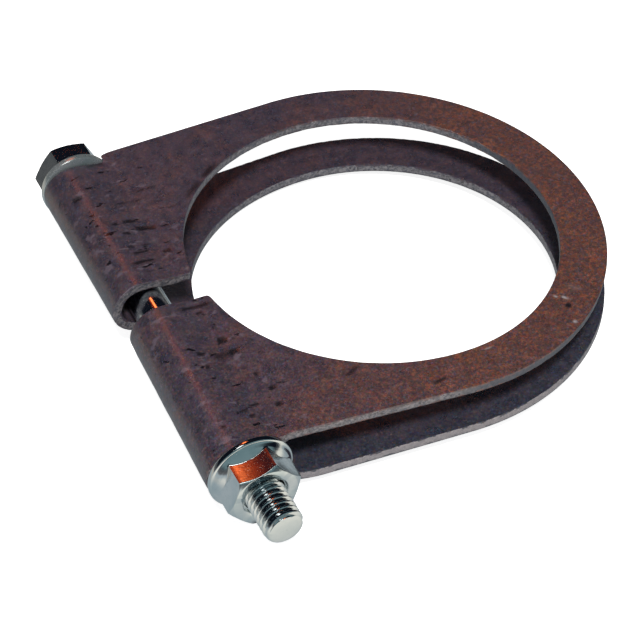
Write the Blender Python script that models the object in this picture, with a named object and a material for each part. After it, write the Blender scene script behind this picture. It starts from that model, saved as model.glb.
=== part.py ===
"""Pipe clamp: a folded D-shaped steel strap, closed by a hex bolt, a plain washer and a flange nut.

Metres, +Z up.  The fold and the bolt run along Y, the bolt's head is at +Y, the pipe passes along Z.
Design coordinates have the upper leaf's pipe hole centred on X = Y = 0 and the bolt's axis at Z = 0.
At the end every piece is moved by the same amount, so that the whole clamp is centred on the origin.
"""
from math import acos, atan2, cos, degrees, hypot, pi, radians, sin, sqrt

import bmesh
import bpy
from mathutils import Matrix, Vector

# Strap: one blank of sheet, rolled round the bolt and split by a gap beside the pipe hole
SHEET = 0.0021
HOLE_RADIUS = 0.0385
HOLE_FLARE_FAR = 0.0024      # how far the hole widens towards the gap, on the bolt head's side
HOLE_FLARE_NEAR = 0.0019     # and on the nut's side
RIM_RADIUS = 0.0483          # round outer edge of each leaf
RIM_CENTRE = (0.0004, 0.0004)
EAR_FAR = 0.0459             # the straight outer edges run from the round rim to these widths at the fold
EAR_NEAR = 0.0431
GAP = 0.00732
SEAT_FAR = 0.0436            # square ends of the rolled channel
SEAT_NEAR = -0.0443
FOLD_X = -0.0517             # centre line of the rolled channel
FOLD_RADIUS = 0.00635        # its outer radius
FOLD_SKEW = 0.034            # the nut-side half of the roll is turned by this slope
FOLD_SKEW_MID = -0.0231
LEAF_TOP = 0.00555           # height of the flat upper leaf's outer face
SHOULDER = 0.008             # length over which the roll runs out into the upper leaf
LOWER_BASE = -0.0117         # lower leaf's outer face: height at the fold, and its slopes along X and Y
LOWER_SLOPE_X = 0.0321
LOWER_SLOPE_Y = -0.0403
LOWER_RAMP = 0.018           # length over which the lower leaf spreads away from the roll
LOWER_SHIFT = 0.00155        # the lower leaf reaches this much further from the fold

# M8 hex bolt, plain washer and hex flange nut
BOLT_X = -0.0501
BOLT_RADIUS = 0.00395
BOLT_LENGTH = 0.1064
TIP_RADIUS = 0.0033
TIP_LENGTH = 0.0012
HEX_ACROSS = 0.0132
HEX_CHAMFER = 0.0009
HEAD_HEIGHT = 0.0053
HEAD_TURN = 58.6             # turn of the head's first corner, in degrees
NUT_TURN = 13.2
NUT_HEIGHT = 0.0076
FLANGE_RADIUS = 0.0086
FLANGE_RIM = 0.0012
FLANGE_CONE = 0.0011
FLANGE_CONE_RADIUS = 0.0077
NUT_BORE_RADIUS = 0.00402
BORE_CHAMFER = 0.0006
WASHER_RADIUS = 0.0080
WASHER_BORE_RADIUS = 0.0042
WASHER_THICKNESS = 0.0016
SEAT_GAP = 0.0002            # between the washer and its neighbours
NUT_GAP = 0.0004             # the nut is not quite run up to the roll

ROUND_SIDES = 48
ARC_STEP = radians(4)
FOLD_CUTS = 20
RAMP_CUTS = 8
SHOULDER_CUTS = 6

QUARTER_ROLL = FOLD_RADIUS * pi / 2
WASHER_Y = SEAT_FAR + SEAT_GAP
HEAD_Y = WASHER_Y + WASHER_THICKNESS + SEAT_GAP
NUT_Y = SEAT_NEAR - NUT_GAP
TIP_Y = HEAD_Y - BOLT_LENGTH
NOTCH_FAR = BOLT_X + WASHER_RADIUS - 0.0006
NOTCH_NEAR = BOLT_X + FLANGE_RADIUS - 0.0004


def clear_scene():
    for item in list(bpy.data.objects):
        bpy.data.objects.remove(item, do_unlink=True)


def make_material(name, colour, metallic, roughness):
    material = bpy.data.materials.new(name)
    material.use_nodes = True
    shader = material.node_tree.nodes["Principled BSDF"]
    shader.inputs["Base Color"].default_value = (*colour, 1.0)
    shader.inputs["Metallic"].default_value = metallic
    shader.inputs["Roughness"].default_value = roughness
    return material


def smooth_step(value):
    value = min(max(value, 0.0), 1.0)
    return value * value * (3 - 2 * value)


def finish_object(name, bm, material):
    mesh = bpy.data.meshes.new(name)
    bm.to_mesh(mesh)
    bm.free()
    mesh.shade_smooth()
    mesh.set_sharp_from_angle(angle=radians(30))
    mesh.materials.append(material)
    item = bpy.data.objects.new(name, mesh)
    bpy.context.scene.collection.objects.link(item)
    return item


# ---- strap -------------------------------------------------------------------------------------

def hole_points(shift):
    """Pipe hole of one leaf, from the gap's far corner round by the rim's crown to its near corner."""
    start = pi - GAP / 2 / HOLE_RADIUS
    count = int(2 * start / ARC_STEP)
    points = []
    for i in range(count + 1):
        angle = start - 2 * start * i / count
        flare = HOLE_FLARE_FAR if angle > 0 else HOLE_FLARE_NEAR
        radius = HOLE_RADIUS + flare * smooth_step((abs(angle) - pi / 2) / (pi / 2))
        points.append((shift + radius * cos(angle), radius * sin(angle)))
    points[0] = (points[0][0], GAP / 2)
    points[-1] = (points[-1][0], -GAP / 2)
    return points


def tangent_angle(ear, side):
    """Angle, measured towards +Y or -Y, at which a straight outer edge meets the round rim."""
    run = FOLD_X - RIM_CENTRE[0]
    rise = ear - RIM_CENTRE[1] * side
    return atan2(rise, run) - acos(RIM_RADIUS / hypot(run, rise))


def rim_points(shift):
    """Outer edge of one leaf, from the far seat round by the crown to the near seat."""
    points = []
    start = tangent_angle(EAR_FAR, 1)
    stop = tangent_angle(EAR_NEAR, -1)
    count = int((start + stop) / ARC_STEP)
    for i in range(count + 1):
        angle = start - (start + stop) * i / count
        points.append((RIM_CENTRE[0] + RIM_RADIUS * cos(angle), RIM_CENTRE[1] + RIM_RADIUS * sin(angle)))
    first, last = points[0], points[-1]
    far_edge = first[1] + (EAR_FAR - first[1]) * (NOTCH_FAR - first[0]) / (FOLD_X - first[0])
    near_edge = last[1] + (-EAR_NEAR - last[1]) * (NOTCH_NEAR - last[0]) / (FOLD_X - last[0])
    points = [(NOTCH_FAR, SEAT_FAR), (NOTCH_FAR, far_edge)] + points
    points += [(NOTCH_NEAR, near_edge), (NOTCH_NEAR, SEAT_NEAR)]
    return [(x + (shift if abs(y) < RIM_RADIUS * 2 and x > -0.03 else 0.0), y) for x, y in points]


def blank_outlines():
    """Outer and inner outlines of the flat blank; U runs across the fold, positive on the upper leaf."""
    def upper(points):
        return [(x - FOLD_X + QUARTER_ROLL, y) for x, y in points]

    def lower(points):
        return [(FOLD_X - x - QUARTER_ROLL, y) for x, y in reversed(points)]

    outer = upper(rim_points(0.0)) + lower(rim_points(LOWER_SHIFT))
    inner = upper(hole_points(0.0)) + lower(hole_points(LOWER_SHIFT))
    return outer, inner


def bend_lines():
    """U of the lines along which the blank is cut into strips before it is bent."""
    lines = [QUARTER_ROLL * (2 * i / FOLD_CUTS - 1) for i in range(FOLD_CUTS + 1)]
    lines += [QUARTER_ROLL + SHOULDER * (i + 1) / SHOULDER_CUTS for i in range(SHOULDER_CUTS)]
    lines += [-QUARTER_ROLL - LOWER_RAMP * (i + 1) / RAMP_CUTS for i in range(RAMP_CUTS)]
    return lines


def bend(u, y):
    """Where a point of the flat blank's outer face lies on the folded strap."""
    if u >= QUARTER_ROLL:
        run = u - QUARTER_ROLL
        x = FOLD_X + run
        z = FOLD_RADIUS + (LEAF_TOP - FOLD_RADIUS) * smooth_step(run / SHOULDER)
    elif u > -QUARTER_ROLL:
        angle = pi - pi / 2 * u / QUARTER_ROLL
        run = 0.0
        x = FOLD_X + FOLD_RADIUS * cos(angle)
        z = FOLD_RADIUS * sin(angle)
    else:
        run = -u - QUARTER_ROLL
        x = FOLD_X + run
        leaf = LOWER_BASE + LOWER_SLOPE_X * run + LOWER_SLOPE_Y * y
        z = -FOLD_RADIUS + (leaf + FOLD_RADIUS) * smooth_step(run / LOWER_RAMP)
    if y < 0:
        x += FOLD_SKEW * (y - FOLD_SKEW_MID) * (1 - smooth_step(run / SHOULDER))
    return Vector((x, y, z))


def clamp_strap():
    bm = bmesh.new()
    edges = []
    for outline in blank_outlines():
        verts = [bm.verts.new((u, y, 0.0)) for u, y in outline]
        edges += [bm.edges.new((verts[i - 1], verts[i])) for i in range(len(verts))]
    bmesh.ops.triangle_fill(bm, use_beauty=True, edges=edges, normal=(0, 0, 1))
    for line in bend_lines():
        parts = bm.verts[:] + bm.edges[:] + bm.faces[:]
        bmesh.ops.bisect_plane(bm, geom=parts, dist=1e-7, plane_co=(line, 0, 0), plane_no=(1, 0, 0))
    bmesh.ops.recalc_face_normals(bm, faces=bm.faces)
    bm.faces.ensure_lookup_table()
    if bm.faces[0].normal.z < 0:
        bmesh.ops.reverse_faces(bm, faces=bm.faces)
    for vert in bm.verts:
        vert.co = bend(vert.co.x, vert.co.y)
    steel = make_material("strap_steel", (0.16, 0.10, 0.085), 0.7, 0.45)
    strap = finish_object("clamp_strap", bm, steel)
    solidify = strap.modifiers.new("Sheet", "SOLIDIFY")
    solidify.thickness = SHEET
    solidify.offset = -1.0
    solidify.use_even_offset = True
    return strap


# ---- turned and hexagonal pieces ---------------------------------------------------------------

def hexagon_radius(angle, turn):
    sector = (degrees(angle) - turn) % 60 - 30
    return HEX_ACROSS / 2 / cos(radians(sector))


def ring(y, radius, turn=None, cap=None):
    """One section across the bolt's axis: a circle, or a hexagon whose corners are trimmed at cap."""
    points = []
    for i in range(ROUND_SIDES):
        angle = 2 * pi * i / ROUND_SIDES
        reach = radius
        if turn is not None:
            reach = min(hexagon_radius(angle, turn), cap)
        points.append((BOLT_X + reach * cos(angle), y, reach * sin(angle)))
    return points


def loft(name, rings, closed, material):
    """Skin a list of sections in order; closed joins the last to the first, otherwise both are capped."""
    bm = bmesh.new()
    loops = [[bm.verts.new(point) for point in section] for section in rings]
    pairs = list(zip(loops, loops[1:]))
    if closed:
        pairs.append((loops[-1], loops[0]))
    else:
        bm.faces.new(loops[0])
        bm.faces.new(list(reversed(loops[-1])))
    for low, high in pairs:
        for i in range(ROUND_SIDES):
            bm.faces.new((low[i - 1], low[i], high[i], high[i - 1]))
    bmesh.ops.recalc_face_normals(bm, faces=bm.faces)
    return finish_object(name, bm, material)


def hexagon_rings(start, end, turn):
    """Hexagonal prism from start to end along Y, its corners chamfered at the end."""
    step = HEX_CHAMFER if end > start else -HEX_CHAMFER
    corner = HEX_ACROSS / 2 / cos(radians(30))
    trim = HEX_ACROSS / 2 * 0.97
    return [
        ring(start, 0, turn, corner),
        ring(end - step, 0, turn, corner),
        ring(end - step * 0.5, 0, turn, (corner + trim) / 2),
        ring(end, 0, turn, trim),
    ]


def hex_bolt(material):
    rings = [
        ring(TIP_Y, TIP_RADIUS),
        ring(TIP_Y + TIP_LENGTH * 0.4, (TIP_RADIUS + BOLT_RADIUS) / 2),
        ring(TIP_Y + TIP_LENGTH, BOLT_RADIUS),
        ring(HEAD_Y, BOLT_RADIUS),
    ]
    rings += hexagon_rings(HEAD_Y, HEAD_Y + HEAD_HEIGHT, HEAD_TURN)
    return loft("hex_bolt", rings, False, material)


def plain_washer(material):
    end = WASHER_Y + WASHER_THICKNESS
    rings = [
        ring(WASHER_Y, WASHER_BORE_RADIUS),
        ring(WASHER_Y, WASHER_RADIUS),
        ring(end, WASHER_RADIUS),
        ring(end, WASHER_BORE_RADIUS),
    ]
    return loft("plain_washer", rings, True, material)


def flange_nut(material):
    end = NUT_Y - NUT_HEIGHT
    rim = NUT_Y - FLANGE_RIM
    rings = [
        ring(NUT_Y, NUT_BORE_RADIUS + BORE_CHAMFER),
        ring(NUT_Y, FLANGE_RADIUS),
        ring(rim, FLANGE_RADIUS),
        ring(rim - FLANGE_CONE, FLANGE_CONE_RADIUS),
    ]
    rings += hexagon_rings(rim - FLANGE_CONE, end, NUT_TURN)
    rings += [
        ring(end, NUT_BORE_RADIUS + BORE_CHAMFER),
        ring(end + BORE_CHAMFER, NUT_BORE_RADIUS),
        ring(NUT_Y - BORE_CHAMFER, NUT_BORE_RADIUS),
    ]
    return loft("hex_flange_nut", rings, True, material)


def centre_on_box(items):
    """Move every piece by one offset, so that the clamp's box is centred on the origin."""
    graph = bpy.context.evaluated_depsgraph_get()
    graph.update()
    corners = [Vector(c) for item in items for c in item.evaluated_get(graph).bound_box]
    low = Vector([min(c[k] for c in corners) for k in range(3)])
    high = Vector([max(c[k] for c in corners) for k in range(3)])
    for item in items:
        item.data.transform(Matrix.Translation(-(low + high) / 2))
    return (low + high) / 2


def put_origin_on_bolt_axis(item, middle):
    """Give a moving piece its origin on the bolt's axis, leaving its shape where it is."""
    axis_point = Vector((BOLT_X, 0, 0)) - middle
    item.data.transform(Matrix.Translation(-axis_point))
    item.location = axis_point


def build():
    clear_scene()
    zinc = make_material("bolt_zinc", (0.62, 0.66, 0.68), 1.0, 0.28)
    nut_zinc = make_material("nut_zinc", (0.60, 0.65, 0.66), 1.0, 0.30)
    washer_zinc = make_material("washer_zinc", (0.58, 0.62, 0.62), 1.0, 0.35)
    strap = clamp_strap()
    moving = [hex_bolt(zinc), plain_washer(washer_zinc), flange_nut(nut_zinc)]
    middle = centre_on_box([strap] + moving)
    for item in moving:
        put_origin_on_bolt_axis(item, middle)
    return middle


if __name__ == "__main__":
    build()
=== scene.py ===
"""Looks of the pipe clamp: rolled scale-covered strap, zinc bolt with its thread, washer and flange nut.

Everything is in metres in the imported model's frame.  The shape constants are those of the CAD source,
in its design coordinates: upper leaf's pipe hole at X = Y = 0, bolt's axis at Z = 0, head at +Y.
"""

from math import acos, atan2, cos, hypot, pi, radians, sin, sqrt, tan

import bpy
import numpy as np
from mathutils import Matrix, Vector


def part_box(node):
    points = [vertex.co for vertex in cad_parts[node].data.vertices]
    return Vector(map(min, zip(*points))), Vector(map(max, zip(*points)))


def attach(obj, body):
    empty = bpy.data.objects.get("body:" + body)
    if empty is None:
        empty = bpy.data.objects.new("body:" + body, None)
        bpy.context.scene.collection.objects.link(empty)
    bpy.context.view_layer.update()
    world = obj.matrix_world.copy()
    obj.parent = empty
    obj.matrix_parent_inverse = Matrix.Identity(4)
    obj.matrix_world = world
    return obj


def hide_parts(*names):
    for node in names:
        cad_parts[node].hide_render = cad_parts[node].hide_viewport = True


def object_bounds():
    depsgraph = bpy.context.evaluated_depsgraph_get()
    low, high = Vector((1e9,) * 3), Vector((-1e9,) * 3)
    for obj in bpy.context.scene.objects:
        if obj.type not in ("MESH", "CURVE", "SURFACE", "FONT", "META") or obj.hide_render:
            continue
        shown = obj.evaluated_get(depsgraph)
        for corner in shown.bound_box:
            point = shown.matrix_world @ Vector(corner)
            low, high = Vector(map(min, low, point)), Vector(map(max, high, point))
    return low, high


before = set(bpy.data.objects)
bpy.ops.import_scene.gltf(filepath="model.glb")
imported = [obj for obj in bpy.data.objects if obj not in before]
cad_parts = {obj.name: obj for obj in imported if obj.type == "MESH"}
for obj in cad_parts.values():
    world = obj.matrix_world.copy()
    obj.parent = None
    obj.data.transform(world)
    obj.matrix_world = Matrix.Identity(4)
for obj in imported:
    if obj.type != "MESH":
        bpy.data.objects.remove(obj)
CAD_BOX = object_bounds()

# Strap
SHEET = 0.0021
HOLE_RADIUS = 0.0385
HOLE_FLARE = {1: 0.0024, -1: 0.0019}
RIM_RADIUS = 0.0483
RIM_CENTRE = (0.0004, 0.0004)
EAR = {1: 0.0459, -1: 0.0431}
SEAT = {1: 0.0436, -1: 0.0443}
GAP = 0.00732
FOLD_X = -0.0517
FOLD_RADIUS = 0.00635
FOLD_SKEW = 0.034
FOLD_SKEW_MID = -0.0231
LEAF_TOP = 0.00555
SHOULDER = 0.008
LOWER_BASE = -0.0117
LOWER_SLOPE_X = 0.0321
LOWER_SLOPE_Y = -0.0403
LOWER_RAMP = 0.018
LOWER_SHIFT = 0.00155
QUARTER_ROLL = FOLD_RADIUS * pi / 2

# Bolt, washer and nut
BOLT_X = -0.0501
BOLT_RADIUS = 0.00395
HEX_ACROSS = 0.0132
HEAD_Y = 0.0456
HEAD_END = 0.0509
HEAD_TURN = 58.6
TIP_Y = -0.0608
NUT_Y = -0.0447
NUT_END = -0.0523
NUT_TURN = 13.2
FLANGE_RADIUS = 0.0086
BORE_RADIUS = 0.00403
WASHER_Y = 0.0438
WASHER_THICK = 0.0016
WASHER_RADIUS = 0.0080
NOTCH = {1: BOLT_X + WASHER_RADIUS - 0.0006, -1: BOLT_X + FLANGE_RADIUS - 0.0004}
# How far the notch at the washer steps back from the sheet's inner to its outer face
NOTCH_PULL = 0.0014
THREAD_PITCH = 0.00125
THREAD_DEPTH = 0.00072
THREAD_END = -0.0365
# Fillet between the shank and the head
UNDERHEAD = 0.0004
# The domed tip's profile: run along the axis from the tip, and radius there
TIP_RUN = [0.0, 0.00004, 0.00011, 0.00022, 0.00036, 0.00052, 0.0012, 0.002]
TIP_REACH = [0.0012, 0.0022, 0.0029, 0.00328, 0.00348, 0.00360, 0.00392, 0.0045]

# Where the design coordinates lie in the frame
low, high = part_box("plain_washer")
OFFSET = Vector(((low.x + high.x) / 2 - BOLT_X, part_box("hex_bolt")[1].y - HEAD_END, (low.z + high.z) / 2))


# ---- camera ------------------------------------------------------------------------------------

CAMERA_PLACE = (-0.145716, -0.240764, 0.251567)
CAMERA_AZIMUTH = -28.99946
CAMERA_ELEVATION = 44.18801
CAMERA_ROLL = 3.65189


def make_camera():
    azimuth, elevation = radians(CAMERA_AZIMUTH), radians(CAMERA_ELEVATION)
    back = Vector((sin(azimuth) * cos(elevation), -cos(azimuth) * cos(elevation), sin(elevation)))
    level = Vector((cos(azimuth), sin(azimuth), 0.0))
    right = Matrix.Rotation(radians(CAMERA_ROLL), 3, back) @ level
    up = back.cross(right)
    data = bpy.data.cameras.new("camera")
    data.sensor_width = 36
    data.lens = 100.02
    data.clip_start = 0.02
    camera = bpy.data.objects.new("camera", data)
    place = Vector(CAMERA_PLACE) + OFFSET
    turn = Matrix((right, up, back)).transposed().to_4x4()
    camera.matrix_world = Matrix.Translation(place) @ turn
    bpy.context.scene.collection.objects.link(camera)
    bpy.context.scene.camera = camera


# ---- shader helpers ----------------------------------------------------------------------------

class Graph:
    """A node tree built by short calls; sockets are passed around as values."""

    def __init__(self, owner):
        owner.use_nodes = True
        self.tree = owner.node_tree
        self.tree.nodes.clear()

    def node(self, kind, inputs=(), **settings):
        made = self.tree.nodes.new("ShaderNode" + kind)
        for name, value in settings.items():
            setattr(made, name, value)
        for key, value in dict(inputs).items():
            self.put(made.inputs[key], value)
        return made

    def put(self, socket, value):
        if isinstance(value, bpy.types.NodeSocket):
            self.tree.links.new(value, socket)
        elif isinstance(value, (tuple, list)) and len(value) == 3 and socket.type == "RGBA":
            socket.default_value = (*value, 1.0)
        else:
            socket.default_value = value

    def maths(self, operation, a, b=0.0, clamp=False):
        made = self.node("Math", {0: a, 1: b}, operation=operation, use_clamp=clamp)
        return made.outputs[0]

    def vector(self, operation, a, b):
        made = self.node("VectorMath", {0: a, 1: b}, operation=operation)
        return made.outputs["Value" if operation == "DOT_PRODUCT" else "Vector"]

    def noise(self, place, size, detail=3.0, roughness=0.5):
        made = self.node("TexNoise", {"Vector": place, "Scale": 1 / size, "Detail": detail,
                                      "Roughness": roughness})
        return made.outputs["Fac"]

    def cells(self, place, size):
        """Three independent values from 0 to 1, constant over small irregular cells."""
        made = self.node("TexVoronoi", {"Vector": place, "Scale": 1 / size})
        return self.node("SeparateColor", {"Color": made.outputs["Color"]}).outputs

    def steps(self, value, start, end, low=0.0, high=1.0, smooth=True):
        made = self.node("MapRange", {"Value": value, "From Min": start, "From Max": end,
                                      "To Min": low, "To Max": high},
                         interpolation_type="SMOOTHSTEP" if smooth else "LINEAR")
        return made.outputs["Result"]

    def window(self, value, start, full, hold, end):
        """1 from full to hold, easing to 0 at start and at end."""
        return self.maths("MULTIPLY", self.steps(value, start, full), self.steps(value, end, hold))

    def mix(self, factor, a, b, blend="MIX"):
        made = self.tree.nodes.new("ShaderNodeMix")
        made.data_type = "RGBA"
        made.blend_type = blend
        self.put(made.inputs["Factor"], factor)
        self.put(made.inputs["A"], a)
        self.put(made.inputs["B"], b)
        return made.outputs["Result"]

    def stretched(self, place, scale):
        return self.node("Mapping", {"Vector": place, "Scale": scale}).outputs["Vector"]


def new_material(name):
    material = bpy.data.materials.new(name)
    graph = Graph(material)
    place = graph.node("TexCoord").outputs["Object"]
    return material, graph, place


def surface(graph, colour, metallic, roughness, height=None, distance=0.0, **plain):
    inputs = {"Base Color": colour, "Metallic": metallic, "Roughness": roughness}
    if height is not None:
        bump = graph.node("Bump", {"Height": height, "Distance": distance, "Strength": 1.0})
        inputs["Normal"] = bump.outputs["Normal"]
    shader = graph.node("BsdfPrincipled", inputs)
    for key, value in plain.items():
        shader.inputs[key.replace("_", " ")].default_value = value
    output = graph.node("OutputMaterial")
    graph.tree.links.new(shader.outputs["BSDF"], output.inputs["Surface"])


# The strap's surface pattern sizes, from broad rust patches to single grains
BROAD, PATCH, FINE, GRAIN = 0.009, 0.0028, 0.0008, 0.00032
CELL, SMALL_CELL = 0.00036, 0.00021


def scale_colour(g, place, rust, noises, cell):
    """Blue-brown mill scale that gives way to red rust, speckled and tinted cell by cell."""
    broad, patch, fine = noises
    scale = g.mix(g.steps(patch, 0.35, 0.65), (0.034, 0.029, 0.044), (0.059, 0.043, 0.059))
    scale = g.mix(g.steps(fine, 0.5, 0.72, 0.0, 0.6), scale, (0.090, 0.052, 0.052))
    scale = g.mix(g.steps(fine, 0.5, 0.28, 0.0, 0.8), scale, (0.024, 0.026, 0.040))
    red = g.mix(g.steps(patch, 0.3, 0.7), (0.122, 0.045, 0.030), (0.200, 0.068, 0.036))
    red = g.mix(g.steps(fine, 0.42, 0.6), (0.074, 0.040, 0.038), red)
    share = g.maths("ADD", rust, g.steps(broad, 0.3, 0.7, -0.25, 0.25), clamp=True)
    colour = g.mix(share, scale, red)
    colour = g.mix(g.steps(cell["Green"], 0.80, 0.92, 0.0, 0.35), colour, (0.070, 0.080, 0.125))
    colour = g.mix(g.steps(cell["Blue"], 0.86, 0.95, 0.0, 0.32), colour, (0.160, 0.075, 0.048))
    # the speckle is fainter on the far side, towards the bolt's head
    along = g.node("SeparateXYZ", {"Vector": place}).outputs["Y"]
    crisp = g.steps(along, 0.045, -0.020, 0.55, 1.0)
    colour = g.mix(crisp, colour, g.steps(cell["Red"], 0.0, 1.0, 0.74, 1.26, smooth=False), "MULTIPLY")
    small = g.cells(place, SMALL_CELL)
    tint = g.node("CombineColor", {name: g.steps(small[name], 0.0, 1.0, 0.72, 1.28, smooth=False)
                                   for name in ("Red", "Green", "Blue")})
    return g.mix(crisp, colour, tint.outputs["Color"], "MULTIPLY")


def worn_colour(g, place, colour, wear_and_shade, mark):
    """The scale with its drawn slots, paler patches and listed marks, and a painted shade, darker and
    bluer, on the lower leaf's near side; also where the slots are.
    """
    drawn = g.noise(g.stretched(place, (0.42, 1.0, 1.0)), 0.0013, 2, 0.5)
    rubbed = g.noise(g.stretched(place, (0.5, 1.0, 1.0)), 0.0026, 3, 0.6)
    gripped = g.maths("MAXIMUM", wear_and_shade, 0.0)
    slot = g.maths("MULTIPLY", g.steps(drawn, 0.665, 0.690), gripped)
    pale = g.maths("MULTIPLY", g.steps(rubbed, 0.60, 0.66, 0.0, 0.75), gripped)
    # painted shade: where the mask is below 0, on the lower leaf's near side under the upper leaf, the
    # colour is made darker and bluer
    painted_shade_colour = g.mix(1.0, colour, (0.68, 0.90, 0.94), "MULTIPLY")
    colour = g.mix(g.steps(wear_and_shade, 0.0, -1.0), colour, painted_shade_colour)
    colour = g.mix(pale, colour, (0.115, 0.092, 0.118))
    colour = g.mix(slot, colour, (0.006, 0.005, 0.008))
    colour = g.mix(g.steps(mark, 0.0, -1.0), colour, (0.012, 0.010, 0.013))
    return g.mix(g.steps(mark, 0.0, 1.0), colour, (0.30, 0.27, 0.28)), slot


def bare_colour(g, fine, cell, rust, wear_and_shade):
    """Sheared metal: darker towards the upper leaf's crown, paler on the lower leaf's near side."""
    bare = g.mix(g.steps(fine, 0.35, 0.65), (0.125, 0.116, 0.128), (0.310, 0.285, 0.298))
    bare = g.mix(g.steps(cell["Green"], 0.72, 0.95, 0.0, 0.8), bare, (0.085, 0.090, 0.125))
    bare = g.mix(g.steps(cell["Blue"], 0.85, 0.97, 0.0, 0.7), bare, (0.045, 0.036, 0.040))
    bare = g.mix(g.steps(rust, 0.78, 1.0, 0.0, 0.85), bare, (0.050, 0.056, 0.078))
    return g.mix(g.steps(wear_and_shade, 0.0, -1.0, 0.0, 0.5), bare, (0.46, 0.41, 0.42))


def steel_material():
    """Mill scale with rust towards the crown, and bare sheared metal on the cut edges."""
    material, g, place = new_material("strap_steel")
    names = ("cut", "depth", "mark", "rust", "wear_and_shade")
    cut, depth, mark, rust, wear_and_shade = [g.node("Attribute", attribute_name=n).outputs["Fac"] for n in names]
    broad = g.noise(place, BROAD, 4, 0.6)
    patch = g.noise(place, PATCH, 5, 0.65)
    fine = g.noise(place, FINE, 4, 0.7)
    grain = g.noise(place, GRAIN, 2, 0.6)
    cell = g.cells(place, CELL)
    colour = scale_colour(g, place, rust, (broad, patch, fine), cell)
    colour, slot = worn_colour(g, place, colour, wear_and_shade, mark)
    # the bare metal's inner side is ragged, and its outer lip keeps some scale
    ragged = g.maths("ADD", depth, g.steps(patch, 0.35, 0.65, -0.16, 0.16))
    ragged = g.maths("ADD", ragged, g.steps(cell["Red"], 0.0, 1.0, -0.05, 0.05, smooth=False))
    shown = g.maths("MULTIPLY", g.steps(cut, 0.25, 0.75), g.steps(ragged, 0.92, 0.82), clamp=True)
    shown = g.maths("MULTIPLY", shown, g.steps(ragged, 0.08, 0.28, 0.15, 1.0))
    colour = g.mix(shown, colour, bare_colour(g, fine, cell, rust, wear_and_shade))
    roughness = g.steps(patch, 0.3, 0.7, 0.24, 0.42, smooth=False)
    roughness = g.maths("ADD", roughness, g.maths("MULTIPLY", shown, 0.15))
    height = g.maths("ADD", g.maths("MULTIPLY", fine, 0.6), g.maths("MULTIPLY", grain, 0.4))
    height = g.maths("SUBTRACT", height, g.maths("MULTIPLY", slot, 0.8))
    surface(g, colour, g.maths("MULTIPLY", shown, 0.3), roughness, height, 0.00004,
            IOR=1.6, Specular_IOR_Level=0.8)
    return material


def zinc_material(name, tint, rough_low, rough_high, metallic=1.0):
    """Bright zinc plate, faintly blue-green, with soft streaks and dull spots."""
    material, g, place = new_material(name)
    broad = g.noise(place, 0.006, 3, 0.5)
    fine = g.noise(place, 0.0009, 4, 0.6)
    grain = g.noise(place, 0.0003, 2, 0.6)
    colour = g.mix(g.steps(broad, 0.35, 0.65), tint, (0.66, 0.70, 0.71))
    colour = g.mix(g.steps(fine, 0.55, 0.75, 0.0, 0.5), colour, (0.42, 0.50, 0.52))
    roughness = g.steps(fine, 0.3, 0.7, rough_low, rough_high, smooth=False)
    height = g.maths("ADD", g.maths("MULTIPLY", fine, 0.7), g.maths("MULTIPLY", grain, 0.3))
    surface(g, colour, metallic, roughness, height, 0.000007)
    return material


# ---- mesh helpers ------------------------------------------------------------------------------

def add_piece(name, verts, faces, material, body, node, sharp=radians(40)):
    mesh = bpy.data.meshes.new(name)
    verts = np.asarray(verts, float) + np.array(OFFSET)
    mesh.from_pydata(verts.tolist(), [], faces)
    mesh.validate()
    mesh.shade_smooth()
    mesh.set_sharp_from_angle(angle=sharp)
    mesh.materials.append(material)
    item = bpy.data.objects.new(name, mesh)
    bpy.context.scene.collection.objects.link(item)
    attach(item, body)
    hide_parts(node)
    return item


def smooth_step(value):
    value = np.clip(value, 0.0, 1.0)
    return value * value * (3 - 2 * value)


def wave_field(count, size, seed):
    """A smooth random field over the plane, about -1 to 1, as a sum of plane waves."""
    source = np.random.default_rng(seed)
    angle = source.uniform(0, 2 * pi, count)
    number = 2 * pi / (size * source.uniform(0.6, 1.8, count))
    phase = source.uniform(0, 2 * pi, count)

    def field(x, y):
        total = np.zeros_like(x)
        for a, n, p in zip(angle, number, phase):
            total += np.sin(n * (x * cos(a) + y * sin(a)) + p)
        return total / sqrt(count)
    return field


# ---- strap -------------------------------------------------------------------------------------

def bend(u, y):
    """Where points of the flat blank's outer face lie on the folded strap."""
    upper = u >= QUARTER_ROLL
    roll = (u < QUARTER_ROLL) & (u > -QUARTER_ROLL)
    run = np.where(upper, u - QUARTER_ROLL, np.where(roll, 0.0, -u - QUARTER_ROLL))
    angle = pi - pi / 2 * u / QUARTER_ROLL
    leaf = LOWER_BASE + LOWER_SLOPE_X * run + LOWER_SLOPE_Y * y
    x = FOLD_X + np.where(roll, FOLD_RADIUS * np.cos(angle), run)
    top = FOLD_RADIUS + (LEAF_TOP - FOLD_RADIUS) * smooth_step(run / SHOULDER)
    low_z = -FOLD_RADIUS + (leaf + FOLD_RADIUS) * smooth_step(run / LOWER_RAMP)
    z = np.where(upper, top, np.where(roll, FOLD_RADIUS * np.sin(angle), low_z))
    skew = FOLD_SKEW * (y - FOLD_SKEW_MID) * (1 - smooth_step(run / SHOULDER))
    x = x + np.where(y < 0, skew, 0.0)
    return np.stack([x, y, z], -1)


def bend_normal(u, y):
    step = 1e-6
    along = bend(u + step, y) - bend(u - step, y)
    across = bend(u, y + step) - bend(u, y - step)
    normal = np.cross(along, across)
    return normal / np.linalg.norm(normal, axis=-1, keepdims=True)


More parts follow.
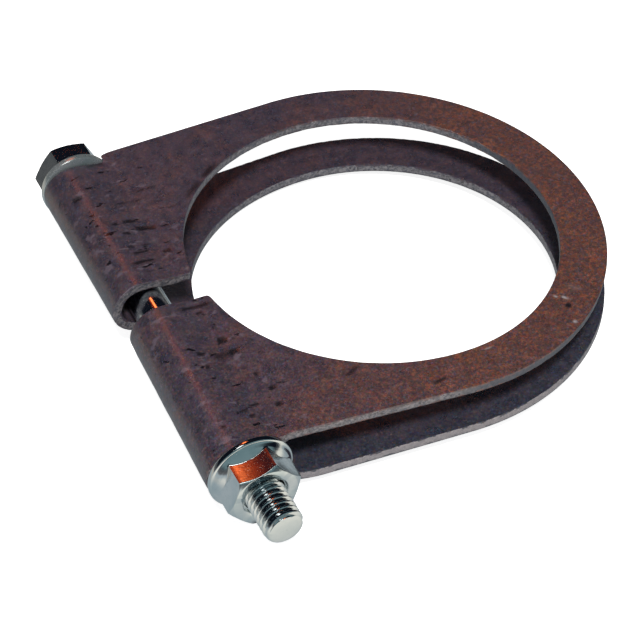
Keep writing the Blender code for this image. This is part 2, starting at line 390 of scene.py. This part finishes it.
def side_ribs(side, shift):
    """Inner and outer ends, in the leaf's plane, of the ribs from the fold to the crown on one side."""
    inner, outer = [], []
    cx, cy = RIM_CENTRE[0], RIM_CENTRE[1] * side
    run, rise = FOLD_X - cx, EAR[side] - cy
    tangent = atan2(rise, run) - acos(RIM_RADIUS / hypot(run, rise))
    touch = (cx + RIM_RADIUS * cos(tangent), cy + RIM_RADIUS * sin(tangent))
    notch = NOTCH[side]
    edge_y = touch[1] + (EAR[side] - touch[1]) * (notch - touch[0]) / (FOLD_X - touch[0])
    touch = (touch[0] + shift, touch[1])
    cx += shift
    start = pi - GAP / 2 / HOLE_RADIUS

    def hole(angle):
        radius = HOLE_RADIUS + HOLE_FLARE[side] * float(smooth_step((angle - pi / 2) / (pi / 2)))
        return (shift + radius * cos(angle), radius * sin(angle))

    def rim(angle):
        d = (cos(angle), sin(angle))
        if angle > atan2(touch[1], touch[0]):
            e = (touch[0] - notch, touch[1] - edge_y)
            t = (notch * e[1] - edge_y * e[0]) / (d[0] * e[1] - d[1] * e[0])
        else:
            b = d[0] * cx + d[1] * cy
            t = b + sqrt(b * b - (cx * cx + cy * cy - RIM_RADIUS ** 2))
        return (t * d[0], t * d[1])

    corner_x = hole(start)[0]
    for i in range(22):
        x = FOLD_X + (notch - FOLD_X) * i / 22
        inner.append((x, GAP / 2))
        outer.append((x, SEAT[side]))
    gap_mid = notch + (corner_x - notch) * 0.45
    for i in range(6):
        inner.append((notch + (gap_mid - notch) * i / 6, GAP / 2))
        outer.append((notch, SEAT[side] + (edge_y - SEAT[side]) * i / 6))
    first_rim = atan2(edge_y, notch)
    for i in range(3):
        inner.append((gap_mid + (corner_x - gap_mid) * i / 3, GAP / 2))
        angle = first_rim - radians(0.9) * i
        outer.append(rim(angle) if i else (notch, edge_y))
    last_rim = first_rim - radians(2.7)
    count = int(start / radians(0.85))
    for i in range(count + 1):
        angle = start * (1 - i / count)
        inner.append((corner_x, GAP / 2) if i == 0 else hole(angle))
        spread = max(angle - pi / 2, 0.0) / (start - pi / 2)
        outer.append(rim(min(angle, pi / 2) + (last_rim - pi / 2) * spread ** 1.15))
    return inner, outer


def blank_ribs():
    """Ends of every rib round the flat blank, as closed loops of (u, y)."""
    ends = ([], [])
    sides = {}
    for leaf, shift in ((1, 0.0), (-1, LOWER_SHIFT)):
        for side in (1, -1):
            for end, points in zip((0, 1), side_ribs(side, shift)):
                points = [((x - FOLD_X + QUARTER_ROLL) * leaf, y * side) for x, y in points]
                sides[leaf, side, end] = points
    roll = [QUARTER_ROLL * (1 - 2 * i / 40) for i in range(1, 40)]
    for end in (0, 1):
        far = GAP / 2 if end == 0 else SEAT[1]
        near = -GAP / 2 if end == 0 else -SEAT[-1]
        loop = ends[end]
        loop += sides[1, 1, end] + sides[1, -1, end][-2::-1]
        loop += [(u, near) for u in roll]
        loop += sides[-1, -1, end] + sides[-1, 1, end][-2::-1]
        loop += [(-u, far) for u in roll]
    inner, outer = np.array(ends[0]), np.array(ends[1])
    for _ in range(3):
        inner = 0.25 * np.roll(inner, 1, 0) + 0.5 * inner + 0.25 * np.roll(inner, -1, 0)
        outer = 0.25 * np.roll(outer, 1, 0) + 0.5 * outer + 0.25 * np.roll(outer, -1, 0)
    return inner, outer


# Dents and scrapes on the upper leaf: centre x, y, half length, half width, depth, turn in degrees,
# and tone, which is below 0 where the metal is dark and above 0 where it is rubbed bright.
MARKS = [
    (-0.0541, 0.0336, 0.0009, 0.0007, 0.00016, 0, -0.9),
    (-0.0440, 0.0199, 0.0019, 0.0006, 0.00022, -12, -1.3),
    (-0.0463, 0.0230, 0.0018, 0.0005, 0.00012, 0, -0.8),
    (-0.0438, 0.0229, 0.0014, 0.0006, 0.00004, 8, 0.28),
    (-0.0498, 0.0228, 0.0007, 0.0004, 0.00008, 0, -0.7),
    (-0.0485, 0.0195, 0.0012, 0.0004, 0.00010, -30, -0.7),
    (-0.0492, 0.0151, 0.0008, 0.0003, 0.00008, 0, -0.8),
    (-0.0479, 0.0130, 0.0018, 0.0004, 0.00010, 5, -0.8),
    (-0.0485, 0.0100, 0.0024, 0.0004, 0.00012, 2, -0.9),
    (-0.0427, 0.0117, 0.0010, 0.0005, 0.00012, 0, -0.9),
    (-0.0459, 0.0150, 0.0009, 0.0003, 0.00008, 0, -0.7),
    (-0.0446, 0.0153, 0.0016, 0.0008, 0.00003, 10, 0.30),
    (-0.0392, 0.0316, 0.0024, 0.0003, 0.00006, 2, -0.6),
    (-0.0440, 0.0289, 0.0032, 0.0003, 0.00006, -3, -0.5),
    (-0.0458, 0.0310, 0.0009, 0.0005, 0.00003, 0, 0.22),
    (-0.0486, 0.0070, 0.0009, 0.0003, 0.00006, 0, -0.6),
    (-0.0300, 0.0275, 0.0034, 0.0009, 0.00005, 38, -0.45),
    (-0.0245, 0.0318, 0.0026, 0.0009, 0.00005, 38, -0.55),
    (-0.0464, 0.0430, 0.0022, 0.0006, 0.00006, 5, -0.5),
    (-0.0411, 0.0051, 0.0007, 0.0005, 0.00005, 60, 0.5),
    (-0.0431, -0.0166, 0.0009, 0.0009, 0.00022, 0, -1.1),
    (-0.0421, -0.0203, 0.0010, 0.0005, 0.00018, 5, -1.1),
    (-0.0485, -0.0189, 0.0009, 0.0005, 0.00014, 0, -0.9),
    (-0.0488, -0.0227, 0.0005, 0.0005, 0.00012, 0, -0.8),
    (-0.0448, -0.0206, 0.0024, 0.0012, 0.00006, 4, -0.45),
    (-0.0438, -0.0227, 0.0016, 0.0005, 0.00004, 8, 0.35),
    (-0.0394, -0.0321, 0.0009, 0.0005, 0.00018, 0, -1.0),
    (-0.0446, -0.0349, 0.0010, 0.0003, 0.00010, 0, -0.9),
    (-0.0402, -0.0366, 0.0008, 0.0005, 0.00014, 0, -0.9),
    (-0.0474, -0.0357, 0.0012, 0.0004, 0.00006, 0, -0.6),
    (-0.0461, -0.0374, 0.0006, 0.0004, 0.00008, 0, -0.7),
    (-0.0524, -0.0383, 0.0004, 0.0004, 0.00010, 0, -0.8),
    (-0.0440, -0.0060, 0.0034, 0.0004, 0.00010, -1, -0.9),
    (-0.0430, -0.0049, 0.0026, 0.0003, 0.00003, 3, 0.25),
    (-0.0441, -0.0079, 0.0008, 0.0004, 0.00008, 0, -0.7),
    (-0.0408, -0.0277, 0.0006, 0.0006, 0.00008, 0, -0.6),
    (0.0250, -0.0332, 0.0018, 0.00022, 0.00006, -34, 1.6),
    (0.0290, -0.0318, 0.0018, 0.0007, 0.00003, -40, 0.40),
    (0.0238, -0.0404, 0.0006, 0.0003, 0.00004, -30, 1.4),
    (0.0250, -0.0358, 0.0007, 0.0007, 0.00010, 0, -0.7),
    (0.0352, -0.0235, 0.0022, 0.0004, 0.00003, -30, 0.25),
    (0.0038, -0.0398, 0.0010, 0.0003, 0.00004, 0, 0.8),
    (-0.0091, -0.0436, 0.0016, 0.0006, 0.00008, 10, -0.5),
    (-0.0235, -0.0345, 0.0022, 0.0006, 0.00006, 25, -0.5),
]


def surface_marks(x, y):
    """Depth and tone of the listed dents at points of the upper leaf."""
    depth = np.zeros_like(x)
    tone = np.zeros_like(x)
    ragged = wave_field(14, 0.0016, 31)(x, y)
    for mx, my, length, width, sink, turn, shade in MARKS:
        c, s = cos(radians(turn)), sin(radians(turn))
        along = ((x - mx) * c + (y - my) * s) / length
        across = ((y - my) * c - (x - mx) * s) / width
        reach = np.exp(-(along ** 4 + across ** 2) * (1 + 0.35 * ragged))
        depth += sink * reach
        tone += (1.6 if shade < 0 else 0.7) * shade * reach
    return depth, np.clip(tone, -1, 1)


def follow_washer(outer, depth):
    """Draw the far notch back towards the fold near the outer face, as the round washer lets it."""
    notch = NOTCH[1]
    run = FOLD_X - RIM_CENTRE[0]
    rise = EAR[1] - RIM_CENTRE[1]
    tangent = atan2(rise, run) - acos(RIM_RADIUS / hypot(run, rise))
    slope = -1 / tan(tangent)
    edge_y = EAR[1] + slope * (notch - FOLD_X)
    x = outer[:, 0] - QUARTER_ROLL + FOLD_X
    y = outer[:, 1]
    before = (x - FOLD_X) / (notch - FOLD_X)
    beyond = 1 - (x - notch) / 0.004
    share = np.clip(np.minimum(before, beyond), 0, 1) * (y > SEAT[1] - 0.0004)
    shift = -NOTCH_PULL * (1 - depth) * share
    rise_share = np.clip((y - SEAT[1]) / (edge_y - SEAT[1]), 0, 1)
    return outer + np.stack([shift, slope * shift * rise_share], -1)


# The strap's mesh: columns across its two faces, where they stop short of the edge, and the cut
# edge's profile as inset from the outline and share of the sheet's thickness
FACE_COLUMNS, BACK_COLUMNS = 84, 14
FACE_MARGIN = 0.00032
EDGE_PROFILE = [(0.00014, 0.010), (0.00004, 0.06), (0.0, 0.17), (0.0, 0.42), (0.00001, 0.62),
                (0.00003, 0.80), (0.00005, 0.93), (0.00014, 0.995)]


def strap_columns():
    """Every column round the strap's section: edge side (0 on a face), inset, share across, depth."""
    columns = [(0, FACE_MARGIN, k / (FACE_COLUMNS - 1), 0.0) for k in range(FACE_COLUMNS)]
    columns += [(1, inset, 1.0, depth) for inset, depth in EDGE_PROFILE]
    columns += [(0, FACE_MARGIN, 1 - k / (BACK_COLUMNS - 1), 1.0) for k in range(BACK_COLUMNS)]
    columns += [(-1, inset, 0.0, depth) for inset, depth in reversed(EDGE_PROFILE)]
    return columns


def clamp_strap(material):
    inner, outer = blank_ribs()
    count = len(inner)
    length = np.linalg.norm(outer - inner, axis=1)
    columns = strap_columns()
    wander = wave_field(24, 0.0070, 11)
    ripple = wave_field(24, 0.0022, 12)
    jitter = wave_field(40, 0.0011, 13)
    verts = np.zeros((count, len(columns), 3))
    cut = np.zeros((count, len(columns)))
    depth_share = np.zeros_like(cut)
    mark = np.zeros_like(cut)
    rust = np.zeros_like(cut)
    wear_and_shade = np.zeros_like(cut)
    arc = np.cumsum(np.full(count, 0.0006))
    for k, (edge, inset, share, depth) in enumerate(columns):
        inset = np.full(count, inset)
        if edge:
            tear = np.clip((depth - 0.55) * 3, 0, 1)
            rough = jitter(arc, np.full(count, depth * 0.004 + edge))
            inset = inset + 0.000012 * np.abs(rough) + 0.00005 * tear * np.abs(rough)
            start = inset / length if edge < 0 else 1 - inset / length
        else:
            start = inset / length + (1 - 2 * inset / length) * share
        point = inner + (follow_washer(outer, depth) - inner) * start[:, None]
        u, y = point[:, 0], point[:, 1]
        place = bend(u, y)
        x = place[:, 0]
        sink = np.full(count, depth * SHEET)
        upper = smooth_step((u + QUARTER_ROLL * 0.3) / QUARTER_ROLL)
        # the lower leaf reads the fields elsewhere, so that its relief isn't a copy
        apart = x * np.where(u > 0, 1.0, 7.0)
        relief = 0.000022 * (1 + wander(apart, y)) + 0.000008 * (1 + ripple(apart, y))
        hollow, tone = surface_marks(x, y)
        if depth < 0.05:
            sink += np.clip(relief, 0, None) + hollow * upper
            mark[:, k] = tone * upper
        elif depth > 0.95:
            sink -= np.clip(relief, 0, None)
        verts[:, k] = place - bend_normal(u, y) * sink[:, None]
        cut[:, k] = abs(edge) * smooth_step((0.00018 - inset) / 0.0001)
        depth_share[:, k] = depth
        crown = smooth_step((x + 0.045 - 0.6 * y) / 0.085)
        rust[:, k] = crown * np.where(u > 0, 1.0, -0.2)
        # above 0: the upper leaf's gripped part near the fold, worn with slots and rubbed patches; below 0:
        # the lower leaf's near side under the upper leaf, whose colour gets a painted shade and paler cut
        # edges
        wear_and_shade[:, k] = smooth_step((-0.030 - x) / 0.012) * upper
        wear_and_shade[:, k] -= (u < -QUARTER_ROLL) * smooth_step((0.010 - y) / 0.030)

    columns_n = len(columns)
    faces = []
    for i in range(count):
        j = (i + 1) % count
        for k in range(columns_n):
            m = (k + 1) % columns_n
            faces.append((i * columns_n + k, j * columns_n + k, j * columns_n + m, i * columns_n + m))
    item = add_piece("strap", verts.reshape(-1, 3), faces, material, "strap", "clamp_strap",
                     radians(60))
    layers = {"cut": cut, "depth": depth_share, "mark": mark, "rust": rust, "wear_and_shade": wear_and_shade}
    for name, values in layers.items():
        made = item.data.attributes.new(name, "FLOAT", "POINT")
        made.data.foreach_set("value", values.reshape(-1).astype(np.float32))
    return item


# ---- turned and hexagonal pieces ---------------------------------------------------------------

def hexagon(angle, turn, hollow=0.0):
    """Radius of the hexagon at each angle; its flats are hollowed and its corners eased a little."""
    sector = (angle - radians(turn)) % (pi / 3) - pi / 6
    flat = HEX_ACROSS / 2 - hollow * (1 - (sector / (pi / 6)) ** 2)
    reach = flat / np.cos(sector)
    corner = HEX_ACROSS / 2 / cos(pi / 6)
    ease = 0.00003
    return reach - ease * np.exp(-((corner - reach) / ease) ** 2) * 0.5


def ring_angles(turn, sides):
    return radians(turn) + 2 * pi * np.arange(sides) / sides


def ring(y, angle, radius):
    radius = np.broadcast_to(radius, angle.shape)
    y = np.broadcast_to(y, angle.shape)
    return np.stack([BOLT_X + radius * np.cos(angle), y, radius * np.sin(angle)], -1)


def skin(rings, closed):
    """Vertices and quads of a stack of rings, capped at its ends or joined from last to first."""
    sides = len(rings[0])
    faces = []
    pairs = [(i, i + 1) for i in range(len(rings) - 1)]
    if closed:
        pairs.append((len(rings) - 1, 0))
    for a, b in pairs:
        for i in range(sides):
            j = (i + 1) % sides
            faces.append((a * sides + i, a * sides + j, b * sides + j, b * sides + i))
    verts = np.concatenate(rings)
    if not closed:
        for row, flip in ((0, True), (len(rings) - 1, False)):
            middle = rings[row].mean(0)
            verts = np.vstack([verts, middle])
            hub = len(verts) - 1
            for i in range(sides):
                j = (i + 1) % sides
                a, b = row * sides + i, row * sides + j
                faces.append((hub, b, a) if flip else (hub, a, b))
    return verts, faces


def outward(verts, faces):
    """Faces turned so that the closed shape's volume is positive."""
    total = 0.0
    for face in faces:
        a = verts[face[0]]
        for b, c in zip(face[1:], face[2:]):
            total += np.dot(a, np.cross(verts[b], verts[c]))
    return faces if total > 0 else [tuple(reversed(face)) for face in faces]


def hex_bolt(material):
    sides = 96
    angle = ring_angles(HEAD_TURN, sides)
    rings = []
    step = THREAD_PITCH / 18
    runs = [TIP_Y + run for run in TIP_RUN[:5]]
    runs += [TIP_Y + TIP_RUN[5] + step * i for i in range(int((THREAD_END - TIP_Y) / step))]
    for y in runs:
        phase = (y / THREAD_PITCH + angle / (2 * pi)) % 1.0
        ridge = 1 - np.abs(2 * phase - 1)
        groove = smooth_step((0.82 - ridge) / 0.70) * 0.35 + np.clip((0.82 - ridge) / 0.72, 0, 1) * 0.65
        fade = float(smooth_step((THREAD_END - y) / (2 * THREAD_PITCH)))
        radius = BOLT_RADIUS - THREAD_DEPTH * groove * fade
        tip = np.interp(y - TIP_Y, TIP_RUN, TIP_REACH)
        rings.append(ring(y, angle, np.minimum(radius, tip)))
    for y in np.linspace(THREAD_END, HEAD_Y - 0.0008, 40):
        rings.append(ring(y, angle, BOLT_RADIUS))
    for i in range(5):
        t = pi / 2 * i / 4
        reach = BOLT_RADIUS + UNDERHEAD * (1 - cos(t))
        rings.append(ring(HEAD_Y - UNDERHEAD * (1 - sin(t)), angle, reach))
    flat = hexagon(angle, HEAD_TURN, 0.00004)
    washer_face = HEX_ACROSS / 2 * 0.96
    rings.append(ring(HEAD_Y, angle, washer_face))
    rings.append(ring(HEAD_Y + 0.00025, angle, washer_face))
    rings.append(ring(HEAD_Y + 0.00027, angle, flat))
    for gap in (2.0, 1.3, 1.0, 0.8, 0.62, 0.5, 0.38, 0.26, 0.16, 0.07, 0.0):
        y = HEAD_END - gap / 1000
        limit = HEX_ACROSS / 2 * 0.95 + gap / 1000 * 1.75
        rings.append(ring(y, angle, np.minimum(flat, limit)))
    rings.append(ring(HEAD_END - 0.00004, angle, HEX_ACROSS / 2 * 0.91))
    rings.append(ring(HEAD_END - 0.00012, angle, HEX_ACROSS / 2 * 0.80))
    rings.append(ring(HEAD_END - 0.00016, angle, HEX_ACROSS / 2 * 0.40))
    verts, faces = skin(rings, False)
    faces = outward(verts, faces)
    return add_piece("bolt", verts, faces, material, "bolt", "hex_bolt", radians(33))


def plain_washer(material):
    angle = ring_angles(0, 128)
    section = [(0.0042, 0.00012), (0.00432, 0.0), (0.00775, 0.0), (0.00790, 0.00005), (0.00798, 0.00018),
               (0.0080, 0.00040), (0.0080, 0.00085), (0.00798, 0.00120), (0.00790, 0.00145),
               (0.00772, 0.00158), (0.00755, WASHER_THICK), (0.00435, WASHER_THICK), (0.0042, 0.00148)]
    rings = [ring(WASHER_Y + run, angle, radius) for radius, run in section]
    verts, faces = skin(rings, True)
    faces = outward(verts, faces)
    return add_piece("washer", verts, faces, material, "washer", "plain_washer",
                     radians(35))


# Flange from its seat: run along the axis and drop below the rim; then its domed cone
FLANGE_PROFILE = [(0.0, 0.0003), (0.00005, 0.00015), (0.00016, 0.00004), (0.0003, 0.0), (0.0006, 0.0),
                  (0.0009, 0.0), (0.00104, 0.00005), (0.00114, 0.00014), (0.0012, 0.00026)]
CONE_RUN = [0.0012, 0.00145, 0.0020, 0.0024, 0.0028, 0.0034]
CONE_DROP = [0.00036, 0.00060, 0.00102, 0.00142, 0.00190, 0.00270]


def flange_nut(material):
    sides = 144
    angle = ring_angles(NUT_TURN, sides)
    flat = hexagon(angle, NUT_TURN, 0.00011)
    bore = BORE_RADIUS
    rings = [ring(NUT_Y, angle, bore + 0.0006)]
    for run, radius in FLANGE_PROFILE:
        rings.append(ring(NUT_Y - run, angle, FLANGE_RADIUS - radius))
    for run in np.linspace(0.00124, 0.0034, 26):
        cone = FLANGE_RADIUS - np.interp(run, CONE_RUN, CONE_DROP)
        rings.append(ring(NUT_Y - run, angle, np.maximum(flat, cone)))
    for gap in (2.6, 1.6, 1.1, 0.9, 0.8, 0.72, 0.64, 0.56, 0.48, 0.40, 0.32, 0.24, 0.16, 0.08, 0.0):
        y = NUT_END + gap / 1000
        limit = HEX_ACROSS / 2 * 0.975 + gap / 1000 * 1.7
        blend = 0.00005
        rings.append(ring(y, angle, -blend * np.logaddexp(-flat / blend, -limit / blend)))
    rings.append(ring(NUT_END, angle, bore + 0.00085))
    rings.append(ring(NUT_END + 0.00008, angle, bore + 0.00065))
    rings.append(ring(NUT_END + 0.0007, angle, bore))
    rings.append(ring(NUT_Y - 0.0006, angle, bore))
    verts, faces = skin(rings, True)
    faces = outward(verts, faces)
    return add_piece("nut", verts, faces, material, "nut", "hex_flange_nut", radians(40))


# ---- floor, light ------------------------------------------------------------------------------

FLOOR_SIZE = 3.0
FLOOR_ROWS = 9


def make_floor(level):
    verts = []
    faces = []
    for i in range(FLOOR_ROWS):
        for j in range(FLOOR_ROWS):
            x, y = [FLOOR_SIZE * (n / (FLOOR_ROWS - 1) - 0.5) for n in (j, i)]
            verts.append((x, y, level))
    for i in range(FLOOR_ROWS - 1):
        for j in range(FLOOR_ROWS - 1):
            a = i * FLOOR_ROWS + j
            faces.append((a, a + 1, a + FLOOR_ROWS + 1, a + FLOOR_ROWS))
    mesh = bpy.data.meshes.new("floor")
    mesh.from_pydata(verts, [], faces)
    floor = bpy.data.objects.new("floor", mesh)
    bpy.context.scene.collection.objects.link(floor)
    material = bpy.data.materials.new("floor_white")
    g = Graph(material)
    # The camera sees white paper; the metal sees a dimmer floor, brightest in front
    place = g.node("NewGeometry").outputs["Position"]
    axes = g.node("SeparateXYZ", {"Vector": place}).outputs
    reach = g.node("VectorMath", {0: place}, operation="LENGTH").outputs["Value"]
    ahead = g.maths("MULTIPLY", g.steps(axes["Y"], -0.045, -0.075), g.steps(axes["X"], -0.10, -0.07))
    ring_share = g.maths("MULTIPLY", g.steps(reach, 0.085, 0.10), g.steps(axes["Y"], -0.07, -0.03))
    shade = g.mix(ring_share, (0.37, 0.42, 0.45), (0.50, 0.47, 0.42))
    shade = g.mix(g.steps(reach, 0.14, 0.20), shade, (0.105, 0.108, 0.114))
    shade = g.mix(ahead, shade, (0.86, 0.82, 0.74))
    dim = g.node("BsdfDiffuse", {"Color": shade})
    paper = g.node("BsdfDiffuse", {"Color": (0.9, 0.9, 0.9)})
    glow = g.node("Emission", {"Color": (1.0, 1.0, 1.0), "Strength": 0.85})
    lit = g.node("AddShader", {0: paper.outputs[0], 1: glow.outputs[0]})
    shown = g.node("MixShader", {0: g.node("LightPath").outputs["Is Camera Ray"],
                                 1: dim.outputs[0], 2: lit.outputs[0]})
    g.node("OutputMaterial", {"Surface": shown.outputs[0]})
    mesh.materials.append(material)


def lobe(g, direction, aim, inner, outer):
    """1 within the inner half-angle of an aim direction, 0 beyond the outer, in degrees."""
    aim = Vector(aim).normalized()
    near = g.vector("DOT_PRODUCT", direction, tuple(aim))
    return g.steps(near, cos(radians(outer)), cos(radians(inner)))


# The dark studio that the metal reflects
DARK = (0.006, 0.008, 0.014)
EMBER = (0.60, 0.055, 0.012)
FLAME = (1.0, 0.20, 0.055)
OVERHEAD = (1.0, 0.96, 0.92)
OVERHEAD_AIM = (-0.22, 0.16, 0.96)
HORIZON = (0.115, 0.122, 0.130)
FRONT = (0.20, 0.29, 0.31)
FLAME_GAIN = 3.4
OVERHEAD_GAIN = 4.0
SKY_STRENGTH = 0.30


def make_world():
    world = bpy.data.worlds.new("studio")
    bpy.context.scene.world = world
    g = Graph(world)
    direction = g.node("TexCoord").outputs["Generated"]
    axes = g.node("SeparateXYZ", {"Vector": direction})
    x, y, z = axes.outputs["X"], axes.outputs["Y"], axes.outputs["Z"]
    path = g.node("LightPath")
    # warm lamp: a band across the direction in which the roll, the shank and the nut's top flat look
    band = g.maths("MULTIPLY", g.window(y, 0.576, 0.586, 0.705, 0.728), g.steps(z, 0.0, 0.1))
    ember = g.maths("MULTIPLY", band, g.window(x, -0.15, -0.04, 0.11, 0.14))
    flame = g.maths("MULTIPLY", band, g.window(x, -0.035, 0.010, 0.10, 0.13))
    seen = g.mix(ember, DARK, EMBER)
    seen = g.mix(flame, seen, FLAME)
    gain = g.maths("ADD", 1.0, g.maths("MULTIPLY", flame, FLAME_GAIN))
    # small white lamp overhead, for the rounded edges and the thread's crests
    above = lobe(g, direction, OVERHEAD_AIM, 7, 12)
    seen = g.mix(above, seen, OVERHEAD)
    gain = g.maths("ADD", gain, g.maths("MULTIPLY", above, OVERHEAD_GAIN))
    seen = g.mix(g.steps(z, 0.16, 0.0), seen, HORIZON)
    front = g.maths("MULTIPLY", g.steps(y, -0.40, -0.58), g.steps(z, 0.0, 0.2))
    seen = g.mix(front, seen, FRONT)
    glossy = g.node("Background", {"Color": seen, "Strength": gain})
    # matt surfaces see an even pale sky, and the camera plain white
    sky = g.mix(g.steps(z, -0.2, 1.0), (0.85, 0.88, 0.95), (1.0, 0.99, 0.98))
    soft = g.node("Background", {"Color": sky, "Strength": SKY_STRENGTH})
    plain = g.node("Background", {"Color": (1.0, 1.0, 1.0), "Strength": 1.0})
    first = g.node("MixShader", {0: path.outputs["Is Glossy Ray"]})
    g.tree.links.new(soft.outputs[0], first.inputs[1])
    g.tree.links.new(glossy.outputs[0], first.inputs[2])
    second = g.node("MixShader", {0: path.outputs["Is Camera Ray"]})
    g.tree.links.new(first.outputs[0], second.inputs[1])
    g.tree.links.new(plain.outputs[0], second.inputs[2])
    output = g.node("OutputWorld")
    g.tree.links.new(second.outputs[0], output.inputs["Surface"])
    world.cycles.sampling_method = "NONE"


def make_light(name, place, aim, size, power, colour):
    data = bpy.data.lights.new(name, "AREA")
    data.shape = "RECTANGLE"
    data.size, data.size_y = size
    data.energy = power
    data.color = colour
    item = bpy.data.objects.new(name, data)
    item.location = Vector(place) + OFFSET
    toward = Vector(aim) - Vector(place)
    item.rotation_euler = toward.to_track_quat("-Z", "Y").to_euler()
    item.visible_glossy = False
    bpy.context.scene.collection.objects.link(item)


# Key light: place, power and colour
KEY_PLACE = (-0.218, -0.394, 0.72)
KEY_SIZE = (0.12, 0.12)
KEY_POWER = 7.0
KEY_COLOUR = (1.0, 0.98, 0.96)

make_camera()
clamp_strap(steel_material())
hex_bolt(zinc_material("bolt_zinc", (0.56, 0.62, 0.64), 0.10, 0.20))
plain_washer(zinc_material("washer_zinc", (0.40, 0.50, 0.51), 0.24, 0.36, 0.80))
flange_nut(zinc_material("nut_zinc", (0.52, 0.60, 0.62), 0.08, 0.17))
make_floor(CAD_BOX[0].z)
make_world()
make_light("key", KEY_PLACE, (0, 0, 0), KEY_SIZE, KEY_POWER, KEY_COLOUR)
bpy.context.scene.view_settings.view_transform = "Standard"
